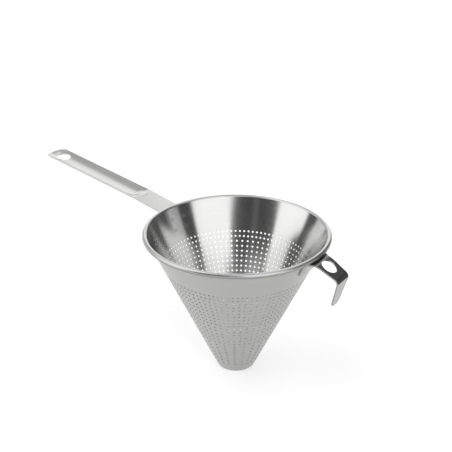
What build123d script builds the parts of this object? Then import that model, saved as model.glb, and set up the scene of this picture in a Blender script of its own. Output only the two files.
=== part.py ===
"""Chinois strainer: a conical strainer of welded stainless sheet.

Millimetres and degrees. Z is the axis of the cone, with the open rim up and the tip down. The
origin is the centre of the rolled rim. The handle lies along -X, the hook about opposite to it.
"""

import os
from math import acos, cos, degrees, radians, sin, tan

from build123d import *

# Bowl: one sheet with a rolled rim, a straight wall and a blunt flat tip
rim_diameter = 180.0            # over the outside of the rolled rim
bead_diameter = 5.0             # of the rolled rim
bowl_sheet = 0.8
cone_half_angle = 25.3          # between the axis and the wall
bowl_depth = 142.8              # from the middle of the rim down to the underside of the tip
tip_edge_radius = 3.0           # outside, where the wall turns into the flat tip
curl_end_gap = 0.3              # between the end of the curl and the wall

# Perforations, counted from the top. Each band is (rows, holes in each row).
hole_diameter = 2.0
first_row_slant = 34.2          # along the wall, from the middle of the rim
row_pitch = 5.04                # along the wall
hole_bands = [(2, 100), (8, 75), (6, 50), (7, 25)]
plain_tip_margin = 3.0          # along the wall, from the lowest holes to the rounded edge of the tip
hole_sides = 8                  # points that each hole's smooth outline passes through
seam_turn = 4.6                 # turns the sheet's own seam line in between the holes

# Straps: the handle and the hook pass close under the rim and are welded to the wall
strap_thickness = 1.5
bead_clearance = 0.15           # between the rim and a strap
weld_gap = 0.1                  # between the wall and a strap's tab
tab_bend_radius = 0.8           # inside, where a strap turns down into its tab
tab_corner_radius = 4.0

# Handle
handle_width = 24.5
handle_reach = 273.0            # from the axis to the far end
handle_root_length = 40.0       # from the rim to the bend
handle_root_rise = 6.7
handle_rise = 4.1               # beyond the bend
handle_bend_radius = 60.0
handle_end_radius = 4.0         # corners of the far end
handle_end_crown = 2.0          # how far the far end bulges
handle_hole_diameter = 16.0
handle_hole_inset = 15.0        # from the far end to the middle of the hanging hole
handle_tab_length = 28.0        # along the wall, from the middle of the rim

# Channel pressed into the handle, with a round end like a spoon's at each end
channel_width = 23.2
channel_depth = 2.2
channel_root_margin = 1.0       # from the bend to the channel
channel_end_margin = 1.5        # from the channel to the far end

# Hook
hook_skew = 9.6                 # round from the point opposite the handle
hook_root_fall = 10.0           # how steeply the strap falls outwards as it passes under the rim
hook_fall = 28.4                # how steeply its flat falls outwards
hook_arch_reach = 94.4          # from the axis to where the root turns down into the flat
hook_arch_radius = 25.0
hook_tab_width = 33.0
hook_neck_reach = 91.0          # from the axis to where the strap has narrowed from its tab
hook_root_width = 25.0
hook_leg_width = 20.7
hook_tip_width = 13.3
hook_flat_reach = 110.8         # from the axis to where the outer bend starts
hook_bend_radius = 5.6          # outside of the bend
hook_bend_angle = 76.6
hook_leg_length = 25.7
hook_tip_radius = 5.0
hook_hole_diameter = 15.6
hook_hole_reach = 99.4          # from the axis to the middle of the hanging hole
hook_tab_length = 19.5          # along the wall, from the middle of the rim

# Spot welds: plugs of fused metal through a tab and the wall
weld_diameter = 4.0
weld_dimple = 0.12              # how far a weld is pressed in on each side
handle_weld_spacing = 15.0      # across the tab
handle_weld_slants = [10.0, 21.0]   # along the wall, from the middle of the rim
hook_weld_spacing = 14.0
hook_weld_slants = [12.0]

# One overrun serves every cut
overrun = 10.0

# Values worked out from the sizes above
alpha = radians(cone_half_angle)
rim_radius = rim_diameter / 2
bead_radius = bead_diameter / 2
bead_centre = rim_radius - bead_radius
curl_inner_radius = bead_radius - bowl_sheet
tip_height = -bowl_depth
handle_turn = 180


def wall_point(slant, lift=0.0):
    """Return (radius, height) of a point down the wall, lifted off its outer face."""
    start_radius = bead_centre - curl_inner_radius / cos(alpha)
    radius = start_radius - slant * sin(alpha) + lift * cos(alpha)
    height = -slant * cos(alpha) - lift * sin(alpha)
    return radius, height


def wall_radius(height, lift=0.0):
    """Return the radius, at a height, of a cone lifted off the wall's outer face."""
    radius, level = wall_point(0, lift)
    return radius + (height - level) * tan(alpha)


def on_circle(centre, radius, angle):
    """Return the point of a circle at an angle."""
    return centre[0] + radius * cos(radians(angle)), centre[1] + radius * sin(radians(angle))


def on_wall(slant, turn):
    """Return the place of a point on the wall, with its Z square to the wall and outwards."""
    radius, height = wall_point(slant)
    return Rot(0, 0, turn) * Pos(radius, 0, height) * Rot(0, 90 + cone_half_angle, 0)


def cone_block(lift, low, high):
    """Return a solid cone, lifted off the wall's outer face, between two heights."""
    outline = Polyline((0, low), (wall_radius(low, lift), low), (wall_radius(high, lift), high), (0, high),
                       close=True)
    return Rot(0, 0, 180) * revolve(make_face(Plane.XZ * outline), Axis.Z)


def bowl_shell():
    """Return the bowl without its holes: the tip, the wall and the curl in one sheet."""
    bead = (bead_centre, 0)
    turn = 90 - cone_half_angle
    edge_run = tip_edge_radius * tan(radians(turn) / 2)
    edge_centre = (wall_radius(tip_height) - edge_run, tip_height + tip_edge_radius)
    inward = 180 - cone_half_angle
    meeting = degrees(acos(curl_inner_radius / bead_radius))
    sweep = 360 - meeting - degrees(curl_end_gap / bead_radius)
    curl_end = inward - sweep

    tip_under = Line((0, tip_height), (edge_centre[0], tip_height))
    edge_under = CenterArc(edge_centre, tip_edge_radius, -90, turn)
    wall_outer = Line(edge_under @ 1, on_circle(bead, curl_inner_radius, inward))
    curl_inner = CenterArc(bead, curl_inner_radius, inward, -sweep)
    curl_cap = Line(curl_inner @ 1, on_circle(bead, bead_radius, curl_end))
    curl_outer = CenterArc(bead, bead_radius, curl_end, sweep)
    edge_over = CenterArc(edge_centre, tip_edge_radius - bowl_sheet, -90, turn)
    wall_inner = Line(curl_outer @ 1, edge_over @ 1)
    tip_over = Line(edge_over @ 0, (0, tip_height + bowl_sheet))
    axis = Line(tip_over @ 1, (0, tip_height))
    outline = Wire([tip_under, edge_under, wall_outer, curl_inner, curl_cap, curl_outer,
                    wall_inner, edge_over, tip_over, axis])
    return Rot(0, 0, seam_turn) * revolve(make_face(Plane.XZ * outline), Axis.Z)


def hole_edge(slant, turn, lift):
    """Return a hole's outline on one face of the wall, as if punched in the flat sheet and rolled."""
    radius = hole_diameter / 2
    points = []
    for step in range(hole_sides):
        angle = radians(step * 360 / hole_sides)
        down = slant + radius * cos(angle)
        around = radians(turn) + radius * sin(angle) / wall_point(down)[0]
        reach, height = wall_point(down, lift)
        points.append((reach * cos(around), reach * sin(around), height))
    return Edge.make_spline(points, periodic=True)


def hole_places():
    """Return (slant, turn) of every hole, row by row, down to the plain end of the wall."""
    places = []
    edge_run = tip_edge_radius * tan(radians(90 - cone_half_angle) / 2)
    lowest = bowl_depth / cos(alpha) - edge_run - plain_tip_margin - hole_diameter / 2
    slant = first_row_slant
    for rows, count in hole_bands:
        for _ in range(rows):
            if slant <= lowest:
                places += [(slant, handle_turn + step * 360 / count) for step in range(count)]
            slant += row_pitch
    return places


def perforated(sheet):
    """Return the sheet with its holes: one outline on each face of the wall, and a side between."""
    outer, inner = sheet.faces().sort_by(SortBy.AREA, reverse=True)[:2]
    rest = [face for face in sheet.faces() if not (face.is_same(outer) or face.is_same(inner))]
    places = hole_places()
    outside = [hole_edge(slant, turn, 0) for slant, turn in places]
    inside = [hole_edge(slant, turn, -bowl_sheet) for slant, turn in places]
    walls = [outer.make_holes([Wire([edge]) for edge in outside]),
             inner.make_holes([Wire([edge]) for edge in inside])]
    sides = [Face.make_surface_from_curves(far, near) for far, near in zip(outside, inside)]
    return Solid(Shell(walls + rest + sides))


def weld_places(turn, spacing, slants):
    """Return the place of each weld of a tab, in pairs across it."""
    places = []
    for slant in slants:
        half_turn = degrees(spacing / 2 / wall_point(slant)[0])
        places += [on_wall(slant, turn - half_turn), on_wall(slant, turn + half_turn)]
    return places


def weld_plugs(places):
    """Return the welds: each fills its hole through the tab and the wall."""
    top = weld_gap + strap_thickness - weld_dimple
    length = top + bowl_sheet - weld_dimple
    return [place * Pos(0, 0, top - length / 2) * Cylinder(weld_diameter / 2, length) for place in places]


def weld_hole_tools(places):
    """Return the cutters that open the tab and the wall for the welds."""
    length = 2 * (weld_gap + strap_thickness + 2 * bowl_sheet)
    return [place * Cylinder(weld_diameter / 2, length) for place in places]


def bowl(weld_holes):
    """Return the finished bowl."""
    return perforated(bowl_shell().cut(*weld_holes))


class StrapLine:
    """The straight line, along +X, of a strap's top face where it passes close under the rim."""

    def __init__(self, rise):
        self.rise = radians(rise)
        drop = bead_radius + bead_clearance
        self.near_bead = (bead_centre + drop * sin(self.rise), -drop * cos(self.rise))

    def at(self, radius):
        """Return the line's point at a radius."""
        return radius, self.near_bead[1] + (radius - self.near_bead[0]) * tan(self.rise)

    def meets_wall(self, sink, lift):
        """Return where the line, sunk by a distance, meets a cone lifted off the wall."""
        level = self.at(0)[1] - sink / cos(self.rise)
        radius = (wall_radius(0, lift) + level * tan(alpha)) / (1 - tan(self.rise) * tan(alpha))
        return radius, level + radius * tan(self.rise)


def bent_strap(points, bend_radii, width):
    """Return a strap along +X, bent as the line of its top face, with a radius for each corner."""
    top_line = FilletPolyline(*points, radius=bend_radii)
    outline = offset(top_line, strap_thickness, side=Side.RIGHT)
    return extrude(make_face(Plane.XZ * outline), width / 2, both=True)


def tab_block(line, width, slant):
    """Return a strap's tab along +X, still solid to the axis, down the wall to a slant."""
    lift = weld_gap + strap_thickness
    low = wall_point(slant, weld_gap)[1]
    top = line.meets_wall(0, lift)[1] + overrun
    blank = Plane.YZ * (Pos(0, (low + top) / 2) * Rectangle(width, top - low))
    blank = fillet(blank.vertices().sort_by(Axis.Z)[:2], tab_corner_radius)
    start, end = line.at(0), line.at(rim_diameter)
    above = make_face(Plane.XZ * Polyline(start, end, (end[0], end[1] + bowl_depth),
                                          (start[0], start[1] + bowl_depth), close=True))
    return (cone_block(lift, low, top) & extrude(blank, rim_diameter)) - extrude(above, width, both=True)


def with_tab(strap, line, width, slant):
    """Return a strap joined to its tab, with both sides of the bend between them rounded."""
    inside = cone_block(weld_gap, tip_height, overrun)
    piece = (strap + tab_block(line, width, slant)) - inside
    bends = [(line.meets_wall(strap_thickness, weld_gap + strap_thickness), tab_bend_radius),
             (line.meets_wall(0, weld_gap), tab_bend_radius + strap_thickness)]
    for (radius, height), bend_radius in bends:
        edge = piece.edges().sort_by_distance((radius, 0, height))[0]
        piece = fillet(edge, bend_radius)
    return piece


def channel_form(place, radius, length):
    """Return a bar with ball ends, lying along a place's X from its origin."""
    bar = Pos(length / 2, 0, 0) * Rot(0, 90, 0) * Cylinder(radius, length)
    return place * (bar + Sphere(radius) + Pos(length, 0, 0) * Sphere(radius))


def handle_outline():
    """Return the handle's outline in plan, along +X, as a tall block."""
    half = handle_width / 2
    shoulder = handle_reach - handle_end_crown
    sides = Polyline((shoulder, -half), (0, -half), (0, half), (shoulder, half))
    end = ThreePointArc((shoulder, half), (handle_reach, 0), (shoulder, -half))
    face = make_face(Wire([*sides.edges(), end]))
    face = fillet(face.vertices().sort_by(Axis.X)[-2:], handle_end_radius)
    return extrude(face, bowl_depth, both=True)


def handle():
    """Return the handle: tab, root, bend, channel and hanging hole."""
    line = StrapLine(handle_root_rise)
    bend = line.at(rim_radius + handle_root_length)
    run = handle_reach - bend[0]
    slope = radians(handle_rise)
    far = (handle_reach, bend[1] + run * tan(slope))
    strap = bent_strap([line.at(bead_centre - overrun), bend, far], [handle_bend_radius], handle_width)

    half_chord = channel_width / 2
    groove_radius = (half_chord ** 2 + channel_depth ** 2) / (2 * channel_depth)
    first = channel_root_margin + half_chord
    length = run / cos(slope) - first - half_chord - channel_end_margin
    strap_place = Pos(bend[0], 0, bend[1]) * Rot(0, -handle_rise, 0)
    groove_place = strap_place * Pos(first, 0, groove_radius - channel_depth)
    groove = channel_form(groove_place, groove_radius, length)
    belly = channel_form(groove_place, groove_radius + strap_thickness, length)
    above = strap_place * Pos(run / 2, 0, groove_radius) * Box(4 * run, 4 * groove_radius, 2 * groove_radius)
    strap = (strap + (belly - above) - groove) & handle_outline()

    hole_place = strap_place * Pos(run / cos(slope) - handle_hole_inset, 0, 0)
    strap -= hole_place * Cylinder(handle_hole_diameter / 2, 2 * overrun)
    return with_tab(strap, line, handle_width, handle_tab_length)


def hook_outline():
    """Return the hook's outline in plan, along +X, as a tall block: it narrows out to the leg."""
    tab, root, leg = hook_tab_width / 2, hook_root_width / 2, hook_leg_width / 2
    reach = hook_flat_reach + 2 * hook_bend_radius
    side = [(0, tab), (wall_radius(0), tab), (hook_neck_reach, root), (hook_flat_reach, leg), (reach, leg)]
    mirrored = [(x, -y) for x, y in reversed(side)]
    return extrude(make_face(Polyline(*side, *mirrored, close=True)), bowl_depth, both=True)


def hook_leg_waste(place):
    """Return what the tapered leg with its round corners leaves of a straight strap."""
    root, tip = hook_leg_width / 2, hook_tip_width / 2
    corners = [(0, root), (hook_leg_length, tip), (hook_leg_length, -tip), (0, -root)]
    leg = make_face(Polyline(*corners, close=True))
    leg = fillet(leg.vertices().sort_by(Axis.X)[-2:], hook_tip_radius)
    length = hook_leg_length + overrun
    around = Pos(length / 2, 0) * Rectangle(length, 2 * hook_root_width)
    return extrude(place * (around - leg), 2 * strap_thickness, both=True)


def further(point, fall, run):
    """Return the point a run further on from a point of an outline, along a fall in degrees."""
    return point[0] + run * cos(radians(fall)), point[1] - run * sin(radians(fall))


def hook():
    """Return the hook: tab, root, flat with a hanging hole, bend and leg."""
    line = StrapLine(-hook_root_fall)
    arch = line.at(hook_arch_reach)
    flat_run = (hook_flat_reach - hook_arch_reach) / cos(radians(hook_fall))
    bend_run = hook_bend_radius * tan(radians(hook_bend_angle) / 2)
    corner = further(arch, hook_fall, flat_run + bend_run)
    leg_fall = hook_fall + hook_bend_angle
    leg_start = further(corner, leg_fall, bend_run)
    leg_end = further(leg_start, leg_fall, hook_leg_length)
    strap = bent_strap([line.at(bead_centre - overrun), arch, corner, leg_end],
                       [hook_arch_radius, hook_bend_radius], hook_tab_width)
    strap = strap & hook_outline()

    leg_place = Pos(leg_start[0], 0, leg_start[1]) * Rot(0, leg_fall, 0)
    strap -= hook_leg_waste(leg_place)
    hole = further(arch, hook_fall, (hook_hole_reach - hook_arch_reach) / cos(radians(hook_fall)))
    hole_place = Pos(hole[0], 0, hole[1]) * Rot(0, hook_fall, 0)
    strap -= hole_place * Cylinder(hook_hole_diameter / 2, 2 * overrun)
    return with_tab(strap, line, hook_tab_width, hook_tab_length)


def solids_of(shapes):
    """Return one compound of separate solids."""
    return Compound([solid for shape in shapes for solid in shape.solids()])


handle_welds = weld_places(handle_turn, handle_weld_spacing, handle_weld_slants)
hook_welds = weld_places(hook_skew, hook_weld_spacing, hook_weld_slants)
handle_weld_holes = weld_hole_tools(handle_welds)
hook_weld_holes = weld_hole_tools(hook_welds)

nodes = {
    "bowl": [bowl(handle_weld_holes + hook_weld_holes)],
    "handle": [(Rot(0, 0, handle_turn) * handle()).cut(*handle_weld_holes)],
    "hook": [(Rot(0, 0, hook_skew) * hook()).cut(*hook_weld_holes)],
    "handle_welds": weld_plugs(handle_welds),
    "hook_welds": weld_plugs(hook_welds),
}

os.makedirs("parts", exist_ok=True)
for name, shapes in nodes.items():
    export_step(solids_of(shapes), f"parts/{name}.step", write_pcurves=False)
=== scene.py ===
"""Chinois strainer: the looks of its bowl, its two straps and its spot welds, in a plain studio."""

from math import acos, atan, atan2, cos, degrees, hypot, pi, radians, sin, sqrt, tan

import bmesh
import bpy
import numpy as np
from mathutils import Matrix, Vector


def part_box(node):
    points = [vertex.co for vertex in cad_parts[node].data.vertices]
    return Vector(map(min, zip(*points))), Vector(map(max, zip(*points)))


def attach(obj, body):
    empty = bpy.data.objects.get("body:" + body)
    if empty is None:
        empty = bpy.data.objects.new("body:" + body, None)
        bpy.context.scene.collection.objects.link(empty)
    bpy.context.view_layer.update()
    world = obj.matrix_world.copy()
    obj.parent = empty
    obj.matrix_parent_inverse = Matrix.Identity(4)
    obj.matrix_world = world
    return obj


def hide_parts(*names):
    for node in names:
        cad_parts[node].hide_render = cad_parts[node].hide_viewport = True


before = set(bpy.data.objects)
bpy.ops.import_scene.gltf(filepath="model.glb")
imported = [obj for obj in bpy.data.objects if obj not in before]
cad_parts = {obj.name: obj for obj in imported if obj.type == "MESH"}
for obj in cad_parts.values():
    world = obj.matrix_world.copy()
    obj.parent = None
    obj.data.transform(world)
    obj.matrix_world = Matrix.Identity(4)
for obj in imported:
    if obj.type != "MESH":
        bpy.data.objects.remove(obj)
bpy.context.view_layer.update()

bl_info = {
    "name": "Chinois Strainer",
    "version": (1, 0, 0),
    "blender": (4, 5, 0),
    "location": "View3D > Sidebar > Strainer",
    "description": "Dresses a conical strainer of turned steel sheet and sets up its studio",
    "category": "Object",
}

BOWL_LOW, BOWL_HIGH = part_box("bowl")
BODY = "root"
MM = 0.001

# Slots of the bowl's materials
INSIDE, OUTSIDE, RIM = range(3)

# Steel
CLOUD_SIZE = 0.045         # of the broad patches in its colour and shine, in metres
MARK_SHARE = 0.6           # the fine marks' part of its unevenness, the patches have the rest
QUARTER_TURN = 0.25        # of the shine's direction, as a share of a full turn
CREASE_SHADE_HEIGHTS = (-0.3, 0.5)       # heights between which the painted shade on the rim's underside fades out, in radii of its bead

# Meshes
BOWL_SMOOTH = radians(35)  # sharper edges of the bowl stay sharp
WALL_AGREE = cos(radians(12))      # faces that turn no more than this from the cone are its wall
CENTRE_NEAR = 0.05         # how near a vertex is to a hole's middle, in rows
WELD_SIDES = 32
CUTTER_SHEETS = 8          # depth of a cutter for a weld, in sheets
MERGE_REACH = 0.002 * MM
EDGE_WIDTH = 0.2 * MM      # of a strap's rounded edges
EDGE_STEPS = 2
EDGE_ANGLE = radians(40)
STRAP_SMOOTH = radians(20)
CHANNEL_AGREE = cos(radians(15))
CHANNEL_NEAR = 0.05 * MM

# Panels of light: where each starts and ends, in degrees to the right of the camera's back, how
# much each of these sides leans for each degree that it is higher, its lower and upper edge in
# degrees above the horizon, and its level. A panel across the camera's far side, at 180 degrees,
# is in two parts.
PANELS = [
    (8.7, 66, -0.8, -0.15, -90, 76, 1.0),
    (82, 103, 0, 0, -90, 22, 0.45),
    (99, 108, 0, 0, -90, 18, 0.18),
    (115, 168, 0, 0, 0, 62, 0.04),
    (72, 150, 0, 0, 46, 78, 0.6),
    (150, 172, 0, 0, -90, 28, 1.0),
    (155, 172, 0, 0, 26, 74, 0.55),
    (168, 190, 0, 0, -90, 62, 1.05),
    (-190, -157, 0, 0, -90, 36, 1.0),
    (-190, -130, 0, 0, 32, 72, 0.42),
    (-160, -120, 0, 0, -90, 26, 0.5),
    (-106, -57, 0, 0.45, -90, 24, 1.0),
    (-134, -57, 0, 0.45, 20, 82, 1.0),
    (-33, -21, 0, 0, -90, 60, 0.05),
]
PANEL_EDGE = 4             # degrees over which a panel fades at each side
HIGH_LIGHT = (42, 60)      # degrees above the horizon between which the panels grow stronger

# Camera
SENSOR_WIDTH = 36          # in millimetres, as the lens is
CLIP_START = 10 * MM


def length(name, description, millimetres):
    """Return a property that holds a length."""
    return bpy.props.FloatProperty(name=name, description=description, default=millimetres * MM,
                                   subtype="DISTANCE", unit="LENGTH", precision=5)


def turn(name, description, angle):
    """Return a property that holds an angle."""
    return bpy.props.FloatProperty(name=name, description=description, default=radians(angle),
                                   subtype="ANGLE", unit="ROTATION")


def share(name, description, value, most=1.0):
    """Return a property that holds a plain number from 0 to a limit."""
    return bpy.props.FloatProperty(name=name, description=description, default=value,
                                   min=0.0, max=most)


def number(name, description, value):
    """Return a property that holds a plain number of any size."""
    return bpy.props.FloatProperty(name=name, description=description, default=value)


def count(name, description, value):
    """Return a property that holds a whole number."""
    return bpy.props.IntProperty(name=name, description=description, default=value, min=1)


def band_counts(name, description, values, least=1):
    """Return a property that holds a whole number for each band of holes."""
    return bpy.props.IntVectorProperty(name=name, description=description, default=values,
                                       size=len(values), min=least)


def tint(name, description, colour):
    """Return a property that holds a colour."""
    return bpy.props.FloatVectorProperty(name=name, description=description, default=colour,
                                         subtype="COLOR", size=3, min=0.0, max=1.0)


class BowlSizes(bpy.types.PropertyGroup):
    """Sizes of the bowl: one sheet with a rolled rim, a straight wall and a flat tip."""
    rim_diameter: length("Rim", "Over the outside of the rolled rim",
                         (BOWL_HIGH.x - BOWL_LOW.x) / MM)
    bead_diameter: length("Bead", "Diameter of the rolled rim's bead", 2 * BOWL_HIGH.z / MM)
    sheet: length("Sheet", "Thickness of the sheet", 0.8)
    half_angle: turn("Half angle", "Between the bowl's axis and its wall", 25.3)
    depth: length("Depth", "From the middle of the rim down to the underside of the tip",
                  -BOWL_LOW.z / MM)
    tip_edge: length("Tip edge", "Outside radius where the wall turns into the flat tip", 3.0)
    curl_end_gap: length("Curl gap", "Between the end of the curl and the wall", 0.3)
    curl_steps: count("Curl steps", "Faces round the curl", 30)
    tip_steps: count("Tip steps", "Faces round the edge of the tip", 6)


class HoleSizes(bpy.types.PropertyGroup):
    """Sizes of the perforations, in bands of rows that have the same number of holes."""
    diameter: length("Diameter", "Diameter of a hole", 2.0)
    first_row: length("First row", "Along the wall from the middle of the rim to the first row",
                      34.2)
    pitch: length("Pitch", "Along the wall from row to row", 5.04)
    rows: band_counts("Rows", "Rows in each band, from the top", (2, 8, 6, 7))
    counts: band_counts("Holes", "Holes in a row of each band", (100, 75, 50, 25), 3)
    arc_steps: count("Arc steps", "Edges to each quarter of a hole", 4)
    join_share: share("Join", "Share of the pitch that is left to join two bands", 0.16)


class WeldSizes(bpy.types.PropertyGroup):
    """Sizes and places of the spot welds through the wall."""
    diameter: length("Diameter", "Diameter of a weld", 4.0)
    handle_spacing: length("Handle spacing", "Between the handle's welds, across its tab", 15.0)
    handle_upper: length("Handle upper", "Along the wall to the handle's upper welds", 10.0)
    handle_lower: length("Handle lower", "Along the wall to the handle's lower welds", 21.0)
    hook_spacing: length("Hook spacing", "Between the hook's welds, across its tab", 14.0)
    hook_row: length("Hook row", "Along the wall to the hook's welds", 12.0)
    handle_turn: turn("Handle turn", "Round the bowl's axis to the handle", 180)
    hook_turn: turn("Hook turn", "Round the bowl's axis to the hook", 9.6)


class ChannelSizes(bpy.types.PropertyGroup):
    """Place and sizes of the channel pressed into the handle."""
    bend_reach: length("Bend reach", "From the bowl's axis to the handle's bend", 130)
    bend_height: length("Bend height", "Of the handle's top at its bend, above the rim's middle",
                        2.3244)
    rise: turn("Rise", "How steeply the handle rises beyond the bend", 4.1)
    start: length("Start", "From the bend to the middle of the channel's first round end", 12.6)
    run: length("Run", "Between the middles of the channel's two round ends", 117.667)
    radius: length("Radius", "Of the channel's round form", 31.6818)
    depth: length("Depth", "Of the channel", 2.2)


class SteelLooks(bpy.types.PropertyGroup):
    """Colours and polish of the steel. Its colours for the inside, outside, handle, hook and rim
    are one steel, each set lighter or darker as painted light and shade, and the colour under the
    rim's bead is painted shade.
    """
    inside: tint("Inside", "Colour of the turned inside", (0.66, 0.66, 0.655))
    outside: tint("Outside", "Colour of the satin outside", (0.42, 0.42, 0.415))
    handle: tint("Handle", "Colour of the handle", (0.52, 0.52, 0.515))
    # Painted shade: the hook's colour is set much darker than the handle's, though both are the
    # same steel
    hook: tint("Hook", "Colour of the hook", (0.345, 0.345, 0.34))
    rim: tint("Rim", "Colour of the rolled rim", (0.56, 0.56, 0.555))
    # Painted shade: the rim's colour where it meets the wall, darker to stand in for the shade
    # under the rolled bead
    crease_shade: tint("Crease", "Colour of the rolled rim where it meets the wall", (0.26, 0.26, 0.26))
    weld: tint("Weld", "Colour of the spot welds", (0.56, 0.55, 0.53))
    inside_roughness: share("Inside roughness", "How dull the turned inside is", 0.18)
    outside_roughness: share("Outside roughness", "How dull the satin outside is", 0.33)
    rim_roughness: share("Rim roughness", "How dull the rolled rim is", 0.30)
    strap_roughness: share("Strap roughness", "How dull the straps are", 0.22)
    grain: share("Grain", "How much finer the shine is along the turning marks than across", 0.8)
    unevenness: share("Unevenness", "How much the steel's colour changes from mark to mark", 0.10)
    mark_width: length("Mark width", "Of the turning and brushing marks", 0.7)
    mark_length: length("Mark length", "Of the turning and brushing marks", 30)
    mark_depth: length("Mark depth", "Of the turning and brushing marks", 0.004)


class StageSizes(bpy.types.PropertyGroup):
    """Camera, floor and light of the studio."""
    azimuth: turn("Azimuth", "Turn of the camera round the bowl, from looking along +Y", 42.0)
    elevation: turn("Elevation", "Of the camera above the rim", 25.4551)
    roll: turn("Roll", "Of the camera about its own line of sight", -0.5046)
    distance: length("Distance", "From the camera to the middle of the rim", 958.71)
    lens: bpy.props.FloatProperty(name="Lens", description="Focal length", default=80.48,
                                  unit="CAMERA")
    image_width: count("Image", "Width of the picture in pixels", 452)
    rim_right: number("Rim right", "Pixels from the picture's middle, right, to the rim's middle",
                      11.003)
    rim_down: number("Rim down", "Pixels from the picture's middle, down, to the rim's middle",
                     7.43)
    floor: tint("Floor", "Colour of the floor", (0.60, 0.60, 0.60))
    floor_glow: share("Floor glow", "How much light the floor adds by itself", 0.60, 5.0)
    floor_reach: length("Floor reach", "From the middle of the floor to its edge", 9000)
    mat: tint("Mat", "Colour of the dark mat that only mirror images show", (0.03, 0.03, 0.03))
    mat_start: length("Mat start", "From the bowl's axis to the mat, to the camera's right", 354)
    mat_end: length("Mat end", "From the bowl's axis to the mat's far side", 8000)
    mat_width: length("Mat width", "Of the mat's near end", 300)
    mat_flare: share("Mat flare", "How many times wider the mat's far end is", 8, 20)
    mat_turn: turn("Mat turn", "From the camera's right to the way that the mat leads away", 20)
    mat_aside: length("Mat aside", "From the bowl's axis to the mat's middle line, to the front",
                      70)
    mat_lift: length("Mat lift", "Of the mat off the floor", 1)
    light: share("Light", "Strength of the panels", 1.62, 10.0)
    high_light: share("High light", "How much stronger the panels are high up", 0.3, 10.0)
    dark: share("Dark", "Strength of the gaps between the panels", 0.09, 10.0)
    lean_from: number("Lean from", "Degrees above the horizon where the panels start to lean", 26)


def settings(name):
    """Return one of this file's groups of properties."""
    return getattr(bpy.context.scene, name)


class Wire:
    """A value in a node tree: arithmetic on it adds Math nodes."""

    def __init__(self, tree, socket):
        self.tree = tree
        self.socket = socket

    def maths(self, operation, *values):
        """Return the result of a Math node on this value and others."""
        node = self.tree.nodes.new("ShaderNodeMath")
        node.operation = operation
        for place, value in zip(node.inputs, (self, *values)):
            self.tree.feed(place, value)
        return Wire(self.tree, node.outputs[0])

    def ramp(self, low, high):
        """Return a smooth rise from 0 to 1 between two values."""
        return self.tree.node("ShaderNodeMapRange", {"interpolation_type": "SMOOTHSTEP"},
                              Value=self, From_Min=low, From_Max=high)

    def __add__(self, other):
        return self.maths("ADD", other)

    def __sub__(self, other):
        return self.maths("SUBTRACT", other)

    def __rsub__(self, other):
        return (self * -1).maths("ADD", other)

    def __mul__(self, other):
        return self.maths("MULTIPLY", other)

    __radd__ = __add__
    __rmul__ = __mul__


class Tree:
    """A node tree in the making."""

    def __init__(self, tree):
        self.nodes = tree.nodes
        self.links = tree.links
        self.nodes.clear()

    def feed(self, place, value):
        """Feed a socket with a wire or a plain value."""
        if isinstance(value, Wire):
            self.links.new(value.socket, place)
        else:
            place.default_value = value

    def node(self, kind, options=None, out=0, **sockets):
        """Add a node and return a result: its options, then its sockets, with _ for a space."""
        node = self.nodes.new(kind)
        for name, value in (options or {}).items():
            setattr(node, name, value)
        for name, value in sockets.items():
            wanted = name.replace("_", " ")
            self.feed(next(s for s in node.inputs if s.name == wanted and s.enabled), value)
        return Wire(self, node.outputs[out])

    def mix(self, factor, first, second):
        """Return a mix of two colours."""
        return self.node("ShaderNodeMix", {"data_type": "RGBA"}, out=2,
                         Factor=factor, A=first, B=second)

    def end(self, kind, shader):
        """Add the tree's output and feed it with a shader."""
        self.feed(self.nodes.new(kind).inputs["Surface"], shader)


def new_material(name):
    """Return a new material and its empty tree."""
    material = bpy.data.materials.new(name)
    material.use_nodes = True
    return material, Tree(material.node_tree)


def marked_steel(name, colour, roughness, mark, turned=0.0, shade=None, **sockets):
    """Return a new metal with fine marks, its colour and shine uneven with them.

    The marks have a size along X, Y and Z. A shade paints shade into the colour from place to
    place, and what is left goes to the shader's own sockets.
    """
    looks = settings("strainer_steel")
    material, tree = new_material(name)
    place = tree.node("ShaderNodeTexCoord", out=3)
    across = tree.node("ShaderNodeMapping", {"vector_type": "TEXTURE"}, Vector=place, Scale=mark,
                       Rotation=(0, 0, turned))
    marks = tree.node("ShaderNodeTexNoise", Vector=across, Scale=1.0, Detail=3.0, Roughness=0.6)
    clouds = tree.node("ShaderNodeTexNoise", Vector=place, Scale=1 / CLOUD_SIZE, Detail=2.0)
    worn = marks * MARK_SHARE + clouds * (1 - MARK_SHARE)
    darker = [channel * (1 - looks.unevenness) for channel in colour]
    lighter = [channel * (1 + looks.unevenness) for channel in colour]
    mixed = tree.mix(worn, (*darker, 1.0), (*lighter, 1.0))
    # Painted shade, where a material has it, goes into the colour here
    if shade:
        mixed = shade(tree, place, mixed)
    dull = worn * looks.unevenness + (roughness - looks.unevenness / 2)
    bump = tree.node("ShaderNodeBump", Height=marks, Distance=looks.mark_depth, Strength=1.0)
    shader = tree.node("ShaderNodeBsdfPrincipled", Base_Color=mixed, Roughness=dull, Normal=bump,
                       Metallic=1.0, **sockets)
    tree.end("ShaderNodeOutputMaterial", shader)
    return material


def turning_mark():
    """Return the size of a mark that runs round the axis."""
    looks = settings("strainer_steel")
    return looks.mark_length, looks.mark_length, looks.mark_width


def turned_steel():
    """Return the bright inside, its colour lighter than the other steel as painted light: fine
    marks round the axis, as a spun sheet is polished.
    """
    looks = settings("strainer_steel")
    return marked_steel("turned_steel", looks.inside, looks.inside_roughness, turning_mark(),
                        Anisotropic=looks.grain, Anisotropic_Rotation=QUARTER_TURN)


def satin_steel():
    """Return the dull outside, its colour darker than the inside as painted shade, with marks round
    the axis.
    """
    looks = settings("strainer_steel")
    return marked_steel("satin_steel", looks.outside, looks.outside_roughness, turning_mark())


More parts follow.
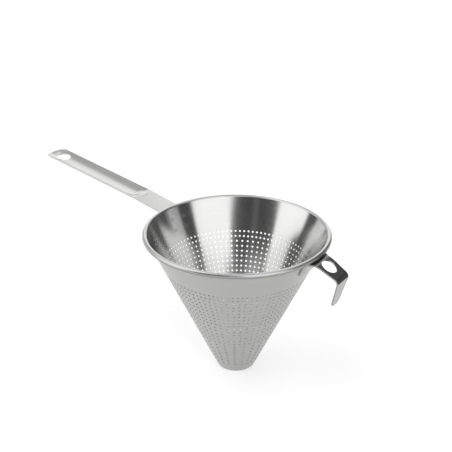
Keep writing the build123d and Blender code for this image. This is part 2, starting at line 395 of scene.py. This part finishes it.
def rim_steel():
    """Return the steel of the rolled rim, with shade painted into its colour under its bead."""
    looks = settings("strainer_steel")
    bead = settings("strainer_bowl").bead_diameter / 2

    def shade(tree, place, colour):
        # Painted shade: the rim's colour turns dark below the middle of its bead
        height = tree.node("ShaderNodeSeparateXYZ", out=2, Vector=place)
        clear = height.ramp(CREASE_SHADE_HEIGHTS[0] * bead, CREASE_SHADE_HEIGHTS[1] * bead)
        return tree.mix(clear, (*looks.crease_shade, 1.0), colour)

    return marked_steel("rim_steel", looks.rim, looks.rim_roughness, turning_mark(), shade=shade)


def strap_steel(name, colour, turned):
    """Return the steel of a strap at a turn round the axis, with marks along the strap."""
    looks = settings("strainer_steel")
    mark = (looks.mark_length, looks.mark_width, looks.mark_length)
    return marked_steel(name, colour, looks.strap_roughness, mark, turned)


def weld_steel():
    """Return the pressed steel of the spot welds."""
    looks = settings("strainer_steel")
    return marked_steel("weld_steel", looks.weld, looks.strap_roughness, (looks.mark_width,) * 3)


def stage_material(name, colour, **sockets):
    """Return a dull material of one colour, with values for the shader's other sockets."""
    material, tree = new_material(name)
    shader = tree.node("ShaderNodeBsdfPrincipled", Base_Color=(*colour, 1.0), Roughness=1.0,
                       **sockets)
    tree.end("ShaderNodeOutputMaterial", shader)
    return material


def deselect():
    """Deselect every object."""
    if bpy.context.object and bpy.context.object.mode != "OBJECT":
        bpy.ops.object.mode_set(mode="OBJECT")
    bpy.ops.object.select_all(action="DESELECT")


def activate(*objects):
    """Select these objects alone, the first of them active."""
    deselect()
    for obj in objects:
        obj.select_set(True)
    bpy.context.view_layer.objects.active = objects[0]


def select_in_edit(kind, wanted):
    """In edit mode, select the vertices, edges or faces that a test picks, and nothing else."""
    modes = {"verts": "VERT", "edges": "EDGE", "faces": "FACE"}
    bpy.ops.mesh.select_mode(type=modes[kind])
    bpy.ops.mesh.select_all(action="DESELECT")
    mesh = bpy.context.object.data
    shape = bmesh.from_edit_mesh(mesh)
    for part in getattr(shape, kind):
        part.select = bool(wanted(part))
    shape.select_flush_mode()
    bmesh.update_edit_mesh(mesh)


def apply_modifier(obj, kind, **options):
    """Add a modifier with its options and apply it."""
    activate(obj)
    modifier = obj.modifiers.new(kind.lower(), kind)
    for name, value in options.items():
        setattr(modifier, name, value)
    bpy.ops.object.modifier_apply(modifier=modifier.name)


class Wall:
    """Places on the bowl's wall, measured down it from the middle of the rim."""

    def __init__(self):
        sizes = settings("strainer_bowl")
        self.angle = sizes.half_angle
        self.bead = sizes.bead_diameter / 2
        self.bead_reach = sizes.rim_diameter / 2 - self.bead
        self.sheet = sizes.sheet
        self.start = self.bead_reach - (self.bead - self.sheet) / cos(self.angle)

    def point(self, slant, lift=0.0):
        """Return (radius, height) of a point down the wall, lifted off its outer face."""
        radius = self.start - slant * sin(self.angle) + lift * cos(self.angle)
        return radius, -slant * cos(self.angle) - lift * sin(self.angle)

    def radius(self, height, lift=0.0):
        """Return the radius at a height of a cone lifted off the wall's outer face."""
        radius, level = self.point(0.0, lift)
        return radius + (height - level) * tan(self.angle)

    def apex(self, lift=0.0):
        """Return the height of the tip of a cone lifted off the wall's outer face."""
        return -self.radius(0.0, lift) / tan(self.angle)


def perforated_band(wall, rows, holes, first):
    """Model one band of the wall's inner face: a cone with a round hole for each cell."""
    sizes = settings("strainer_holes")
    half = sizes.pitch / 2
    top_radius, top = wall.point(first - half, -wall.sheet)
    low_radius, low = wall.point(first + (2 * rows - 1) * half, -wall.sheet)
    deselect()
    bpy.ops.mesh.primitive_cone_add(vertices=2 * holes, radius1=low_radius, radius2=top_radius,
                                    depth=top - low, end_fill_type="NOTHING",
                                    location=(0, 0, (top + low) / 2))
    band = bpy.context.object
    band.rotation_euler.z = settings("strainer_welds").handle_turn - pi / 2
    bpy.ops.object.transform_apply()

    bpy.ops.object.mode_set(mode="EDIT")
    select_in_edit("edges", lambda e: abs(e.verts[0].co.z - e.verts[1].co.z) > half / 2)
    bpy.ops.mesh.subdivide(number_cuts=2 * rows - 1)
    apex = wall.apex(-wall.sheet)
    drop = half * cos(wall.angle)
    for level, side in ((top, -1), (low, 1)):
        select_in_edit("verts", lambda v: abs(v.co.z - level) < drop / 4)
        slide = side * sizes.join_share * half * cos(wall.angle)
        factor = (level + slide - apex) / (level - apex)
        bpy.ops.transform.resize(value=(factor,) * 3, center_override=(0, 0, apex))

    def is_centre(vertex):
        row = (top - vertex.co.z) / drop
        step = atan2(vertex.co.y, vertex.co.x) / (pi / holes) + holes
        on_row = abs(row - round(row)) < CENTRE_NEAR and round(row) % 2 == 1
        return on_row and round(step) % 2 == 0

    # This profile makes the bevel of a vertex with four edges a circle.
    select_in_edit("verts", is_centre)
    circle_profile = (1 - sqrt(0.5)) ** 2
    bpy.ops.mesh.bevel(offset_type="OFFSET", offset=sizes.diameter / 2, segments=sizes.arc_steps,
                       profile=circle_profile, affect="VERTICES", clamp_overlap=False)
    bpy.ops.mesh.delete(type="FACE")
    bpy.ops.object.mode_set(mode="OBJECT")
    return band


def select_open_loop(level, reach):
    """Select the open edges that lie near a height."""
    select_in_edit("edges", lambda e: e.is_boundary
                   and all(abs(v.co.z - level) < reach for v in e.verts))


def pull_edge(profile, radius):
    """Extrude the selected loop through the points of a profile, from a radius."""
    height = profile[0][1]
    for reach, level in profile[1:]:
        bpy.ops.mesh.extrude_region()
        factor = reach / radius
        bpy.ops.transform.resize(value=(factor, factor, 1), center_override=(0, 0, 0))
        bpy.ops.transform.translate(value=(0, 0, level - height))
        radius, height = reach, level


def arc(centre, radius, start, end, steps):
    """Return points of an arc of (radius, height), without its first point."""
    angles = [start + (end - start) * step / steps for step in range(1, steps + 1)]
    return [(centre[0] + radius * cos(a), centre[1] + radius * sin(a)) for a in angles]


def curl_profile(wall):
    """Return points of the rolled rim's outer face, from the wall out, down and in again."""
    bowl = settings("strainer_bowl")
    start = pi - wall.angle
    meeting = acos((wall.bead - wall.sheet) / wall.bead)
    end = start - (2 * pi - meeting - bowl.curl_end_gap / wall.bead)
    return [(wall.bead_reach + wall.bead * cos(start), wall.bead * sin(start)),
            *arc((wall.bead_reach, 0.0), wall.bead, start, end, bowl.curl_steps)]


def tip_profile(wall):
    """Return points of the tip's inner face, from the wall to the flat."""
    bowl = settings("strainer_bowl")
    run = bowl.tip_edge * tan((pi / 2 - wall.angle) / 2)
    centre = (wall.radius(-bowl.depth) - run, bowl.tip_edge - bowl.depth)
    inner = bowl.tip_edge - wall.sheet
    return [(centre[0] + inner * cos(wall.angle), centre[1] - inner * sin(wall.angle)),
            *arc(centre, inner, -wall.angle, -pi / 2, bowl.tip_steps)]


def bowl_sheet(wall):
    """Model the inner face of the whole sheet: bands of holes, plain wall, curl and tip."""
    holes = settings("strainer_holes")
    bands, first, joins = [], holes.first_row, []
    for rows, around in zip(holes.rows, holes.counts):
        bands.append(perforated_band(wall, rows, around, first))
        first += rows * holes.pitch
        joins.append(first - holes.pitch / 2)
    activate(*bands)
    bpy.ops.object.join()
    sheet = bpy.context.object

    bpy.ops.object.mode_set(mode="EDIT")
    drop = holes.pitch / 2 * cos(wall.angle)
    for slant in joins[:-1]:
        select_open_loop(wall.point(slant, -wall.sheet)[1], drop / 2)
        bpy.ops.mesh.bridge_edge_loops()

    inset = holes.join_share * holes.pitch / 2
    ends = [(holes.first_row - holes.pitch / 2 + inset, curl_profile(wall)),
            (joins[-1] - inset, tip_profile(wall))]
    for slant, profile in ends:
        radius, height = wall.point(slant, -wall.sheet)
        select_open_loop(height, drop / 4)
        pull_edge([(radius, height), *profile], radius)
    bpy.ops.mesh.edge_face_add()
    bpy.ops.mesh.select_all(action="SELECT")
    bpy.ops.mesh.normals_make_consistent(inside=True)
    bpy.ops.object.mode_set(mode="OBJECT")
    return sheet


def weld_cutters(wall):
    """Model one cutter for each spot weld and return them joined."""
    sizes = settings("strainer_welds")
    places = [(sizes.handle_turn, sizes.handle_spacing, sizes.handle_upper),
              (sizes.handle_turn, sizes.handle_spacing, sizes.handle_lower),
              (sizes.hook_turn, sizes.hook_spacing, sizes.hook_row)]
    cutters = []
    for turned, spacing, slant in places:
        radius, height = wall.point(slant)
        for side in (-1, 1):
            angle = turned + side * spacing / 2 / radius
            deselect()
            bpy.ops.mesh.primitive_cylinder_add(
                vertices=WELD_SIDES, radius=sizes.diameter / 2, depth=CUTTER_SHEETS * wall.sheet,
                location=(radius * cos(angle), radius * sin(angle), height),
                rotation=(0, pi / 2 + wall.angle, angle))
            cutters.append(bpy.context.object)
    activate(*cutters)
    bpy.ops.object.join()
    return bpy.context.object


def paint_rim(obj, wall):
    """Give the outside of the rolled rim its own steel."""
    reach = wall.bead_reach - wall.bead * cos(wall.angle)
    low = -wall.bead * sin(wall.angle)
    activate(obj)
    bpy.ops.object.mode_set(mode="EDIT")

    def on_rim(face):
        place = face.calc_center_median()
        across = hypot(place.x, place.y)
        return across > wall.bead_reach or (across > reach and place.z > low)

    select_in_edit("faces", on_rim)
    obj.active_material_index = RIM
    bpy.ops.object.material_slot_assign()
    bpy.ops.object.mode_set(mode="OBJECT")


def corner_places(mesh):
    """Return the place of each corner of each face."""
    corners = np.zeros(len(mesh.loops), int)
    mesh.loops.foreach_get("vertex_index", corners)
    places = np.zeros(3 * len(mesh.vertices))
    mesh.vertices.foreach_get("co", places)
    return places.reshape(-1, 3)[corners]


def even_wall_normals(obj, wall):
    """Give the wall the normals of a true cone, so that its shine runs on past the holes."""
    mesh = obj.data
    places = corner_places(mesh)
    around = np.arctan2(places[:, 1], places[:, 0])
    cone = np.stack([np.cos(around) * cos(wall.angle), np.sin(around) * cos(wall.angle),
                     np.full(len(around), -sin(wall.angle))], 1)
    facing = np.zeros((len(mesh.loops), 3))
    for face in mesh.polygons:
        facing[face.loop_start:face.loop_start + face.loop_total] = face.normal
    agree = (cone * facing).sum(1)
    on_wall = np.abs(agree)[:, None] > WALL_AGREE
    # A normal of zero keeps the mesh's own.
    normals = np.where(on_wall, cone * np.sign(agree)[:, None], 0.0)
    low = -settings("strainer_bowl").depth + settings("strainer_bowl").tip_edge
    normals[(places[:, 2] > 0) | (places[:, 2] < low)] = 0.0
    mesh.normals_split_custom_set(normals)


def even_channel_normals(obj):
    """Give the handle's channel the normals of its true round form, so that its shine is even."""
    sizes = settings("strainer_channel")
    along = np.array((-cos(sizes.rise), 0, sin(sizes.rise)))
    up = np.array((sin(sizes.rise), 0, cos(sizes.rise)))
    start = np.array((-sizes.bend_reach, 0, sizes.bend_height))
    start = start + along * sizes.start + up * (sizes.radius - sizes.depth)
    mesh = obj.data
    places = corner_places(mesh)
    steps = np.clip((places - start) @ along, 0, sizes.run)
    inward = start + steps[:, None] * along - places
    reach = np.linalg.norm(inward, axis=1)
    inward /= reach[:, None]
    normals = np.zeros(3 * len(mesh.loops))
    mesh.corner_normals.foreach_get("vector", normals)
    normals = normals.reshape(-1, 3)
    agree = (inward * normals).sum(1) > CHANNEL_AGREE
    pressed = agree & (abs(reach - sizes.radius) < CHANNEL_NEAR)
    normals[pressed] = inward[pressed]
    mesh.normals_split_custom_set(normals)


def smooth_copy(node, name):
    """Return a joined-up copy of a CAD node's mesh, with its edges rounded."""
    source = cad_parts[node]
    piece = bpy.data.objects.new(name, source.data.copy())
    bpy.context.scene.collection.objects.link(piece)
    activate(piece)
    piece.data.materials.clear()
    bpy.ops.object.mode_set(mode="EDIT")
    bpy.ops.mesh.select_all(action="SELECT")
    bpy.ops.mesh.remove_doubles(threshold=MERGE_REACH)
    bpy.ops.object.mode_set(mode="OBJECT")
    apply_modifier(piece, "BEVEL", width=EDGE_WIDTH, segments=EDGE_STEPS, limit_method="ANGLE",
                   angle_limit=EDGE_ANGLE)
    bpy.ops.object.shade_smooth_by_angle(angle=STRAP_SMOOTH)
    apply_modifier(piece, "WEIGHTED_NORMAL", keep_sharp=True)
    return piece


class STRAINER_OT_bowl(bpy.types.Operator):
    """Model the bowl, with its rolled rim, its tip and its holes"""
    bl_idname = "strainer.bowl"
    bl_label = "Bowl"

    def execute(self, context):
        wall = Wall()
        bowl = bowl_sheet(wall)
        bowl.name = "perforated_bowl"
        for material in (turned_steel(), satin_steel(), rim_steel()):
            bowl.data.materials.append(material)
        apply_modifier(bowl, "SOLIDIFY", thickness=wall.sheet, offset=-1, use_even_offset=True,
                       use_quality_normals=True, material_offset=OUTSIDE,
                       material_offset_rim=OUTSIDE)
        paint_rim(bowl, wall)
        cutters = weld_cutters(wall)
        apply_modifier(bowl, "BOOLEAN", operation="DIFFERENCE", solver="EXACT", object=cutters)
        bpy.data.objects.remove(cutters)
        activate(bowl)
        bpy.ops.object.shade_smooth_by_angle(angle=BOWL_SMOOTH)
        even_wall_normals(bowl, wall)
        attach(bowl, BODY)
        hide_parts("bowl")
        return {"FINISHED"}


class STRAINER_OT_straps(bpy.types.Operator):
    """Finish the handle and the hook"""
    bl_idname = "strainer.straps"
    bl_label = "Handle and hook"

    def execute(self, context):
        hook_turn = settings("strainer_welds").hook_turn
        straps = [("handle", "brushed_handle", 0.0), ("hook", "brushed_hook", hook_turn)]
        for node, name, turned in straps:
            piece = smooth_copy(node, name)
            if node == "handle":
                even_channel_normals(piece)
            # The hook's colour is darker than the handle's as painted shade; both are one steel
            colour = getattr(settings("strainer_steel"), node)
            piece.data.materials.append(strap_steel(name + "_steel", colour, turned))
            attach(piece, BODY)
            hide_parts(node)
        return {"FINISHED"}


class STRAINER_OT_welds(bpy.types.Operator):
    """Finish the spot welds"""
    bl_idname = "strainer.welds"
    bl_label = "Spot welds"

    def execute(self, context):
        steel = weld_steel()
        for node in ("handle_welds", "hook_welds"):
            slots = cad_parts[node].data.materials
            slots.clear()
            slots.append(steel)
        return {"FINISHED"}


def studio_light():
    """Light the studio with panels all round, with dark gaps between them."""
    stage = settings("strainer_stage")
    world = bpy.data.worlds.new("studio")
    bpy.context.scene.world = world
    world.use_nodes = True
    tree = Tree(world.node_tree)
    direction = tree.node("ShaderNodeTexCoord")
    turned = tree.node("ShaderNodeMapping", {"vector_type": "POINT"}, Vector=direction,
                       Rotation=(0, 0, pi / 2 - stage.azimuth))
    x, y, z = (tree.node("ShaderNodeSeparateXYZ", out=axis, Vector=turned) for axis in range(3))
    # After the turn, X points at the camera: the angle is 0 behind it and grows to its right.
    around = y.maths("ARCTAN2", x) * degrees(1)
    above = z.maths("ARCSINE") * degrees(1)
    rise = (above - stage.lean_from).maths("MAXIMUM", 0)
    strength = above.ramp(*HIGH_LIGHT) * stage.high_light + 1
    light = 0
    for start, end, start_lean, end_lean, low, high, level in PANELS:
        left = around - rise * start_lean
        right = around - rise * end_lean
        panel = (left.ramp(start, start + PANEL_EDGE) *
                 (1 - right.ramp(end - PANEL_EDGE, end)) *
                 above.ramp(low, low + PANEL_EDGE) *
                 (1 - above.ramp(high - PANEL_EDGE, high)))
        light = panel * level + light
    strength = light * strength * stage.light + stage.dark
    tree.end("ShaderNodeOutputWorld", tree.node("ShaderNodeBackground", Strength=strength))


def pale_floor():
    """Lay the floor under the tip."""
    stage = settings("strainer_stage")
    deselect()
    bpy.ops.mesh.primitive_plane_add(size=2 * stage.floor_reach, location=(0, 0, BOWL_LOW.z))
    floor = bpy.context.object
    floor.name = "floor"
    floor.data.materials.append(
        stage_material("pale_floor", stage.floor, Specular_IOR_Level=0.0,
                       Emission_Color=(1.0, 1.0, 1.0, 1.0), Emission_Strength=stage.floor_glow))


def dark_mat():
    """Lay a dark mat on the floor, to the right of the picture, that only mirror images show."""
    stage = settings("strainer_stage")
    middle = (stage.mat_start + stage.mat_end) / 2
    deselect()
    bpy.ops.mesh.primitive_plane_add(
        size=1, location=(middle, -stage.mat_aside, BOWL_LOW.z + stage.mat_lift))
    bpy.ops.transform.resize(value=(stage.mat_end - stage.mat_start, stage.mat_width, 1))
    mat = bpy.context.object
    mat.name = "dark_mat"
    bpy.ops.object.transform_apply()
    bpy.ops.object.mode_set(mode="EDIT")
    select_in_edit("verts", lambda v: v.co.x > middle)
    bpy.ops.transform.resize(value=(1, stage.mat_flare, 1))
    bpy.ops.object.mode_set(mode="OBJECT")
    mat.rotation_euler.z = stage.azimuth + stage.mat_turn
    bpy.ops.object.transform_apply()
    mat.data.materials.append(stage_material("dark_cloth", stage.mat))
    mat.visible_camera = mat.visible_diffuse = mat.visible_shadow = False


def camera_matrix():
    """Return the camera's place and turn from the stage's values."""
    stage = settings("strainer_stage")
    around, up_angle = stage.azimuth, stage.elevation
    forward = Vector((-sin(around) * cos(up_angle), cos(around) * cos(up_angle), -sin(up_angle)))
    right = Vector((cos(around), sin(around), 0))
    up = right.cross(forward)
    place = -stage.distance * forward
    focal = stage.lens / SENSOR_WIDTH * stage.image_width
    rolled = Matrix.Rotation(stage.roll, 3, forward)
    right, up = rolled @ right, rolled @ up
    pan = atan(stage.rim_right / focal)
    panned = Matrix.Rotation(pan, 3, up)
    right, forward = panned @ right, panned @ forward
    tilted = Matrix.Rotation(atan(stage.rim_down / focal) * cos(pan), 3, right)
    forward, up = tilted @ forward, tilted @ up
    turned = Matrix((right, up, -forward)).transposed().to_4x4()
    return Matrix.Translation(place) @ turned


class STRAINER_OT_stage(bpy.types.Operator):
    """Set up the floor, the light and the camera"""
    bl_idname = "strainer.stage"
    bl_label = "Studio"

    def execute(self, context):
        pale_floor()
        dark_mat()
        studio_light()
        bpy.ops.object.camera_add()
        camera = context.object
        camera.data.lens = settings("strainer_stage").lens
        camera.data.clip_start = CLIP_START
        camera.matrix_world = camera_matrix()
        context.scene.camera = camera
        context.scene.view_settings.view_transform = "Standard"
        return {"FINISHED"}


class STRAINER_PT_panel(bpy.types.Panel):
    """Lists the strainer's sizes and pieces"""
    bl_idname = "STRAINER_PT_panel"
    bl_label = "Strainer"
    bl_space_type = "VIEW_3D"
    bl_region_type = "UI"
    bl_category = "Strainer"

    def draw(self, context):
        for title, name, _ in GROUPS:
            box = self.layout.box()
            box.label(text=title)
            group = getattr(context.scene, name)
            for field in group.bl_rna.properties:
                if not field.is_readonly and field.identifier != "name":
                    box.prop(group, field.identifier)
        for operator in OPERATORS:
            self.layout.operator(operator.bl_idname)


GROUPS = [("Bowl", "strainer_bowl", BowlSizes), ("Holes", "strainer_holes", HoleSizes),
          ("Welds", "strainer_welds", WeldSizes), ("Channel", "strainer_channel", ChannelSizes),
          ("Steel", "strainer_steel", SteelLooks), ("Studio", "strainer_stage", StageSizes)]
OPERATORS = [STRAINER_OT_bowl, STRAINER_OT_straps, STRAINER_OT_welds, STRAINER_OT_stage]


def register():
    for _, name, group in GROUPS:
        bpy.utils.register_class(group)
        setattr(bpy.types.Scene, name, bpy.props.PointerProperty(type=group))
    for item in (*OPERATORS, STRAINER_PT_panel):
        bpy.utils.register_class(item)


def unregister():
    for item in (STRAINER_PT_panel, *reversed(OPERATORS)):
        bpy.utils.unregister_class(item)
    for _, name, group in reversed(GROUPS):
        delattr(bpy.types.Scene, name)
        bpy.utils.unregister_class(group)


def corners(box):
    """Return a box's two corners as plain lists."""
    return [list(corner) for corner in box]


def main():
    """Build the strainer and its studio."""
    register()
    bpy.ops.strainer.bowl()
    bpy.ops.strainer.straps()
    bpy.ops.strainer.welds()
    bpy.ops.strainer.stage()


if __name__ == "__main__":
    main()
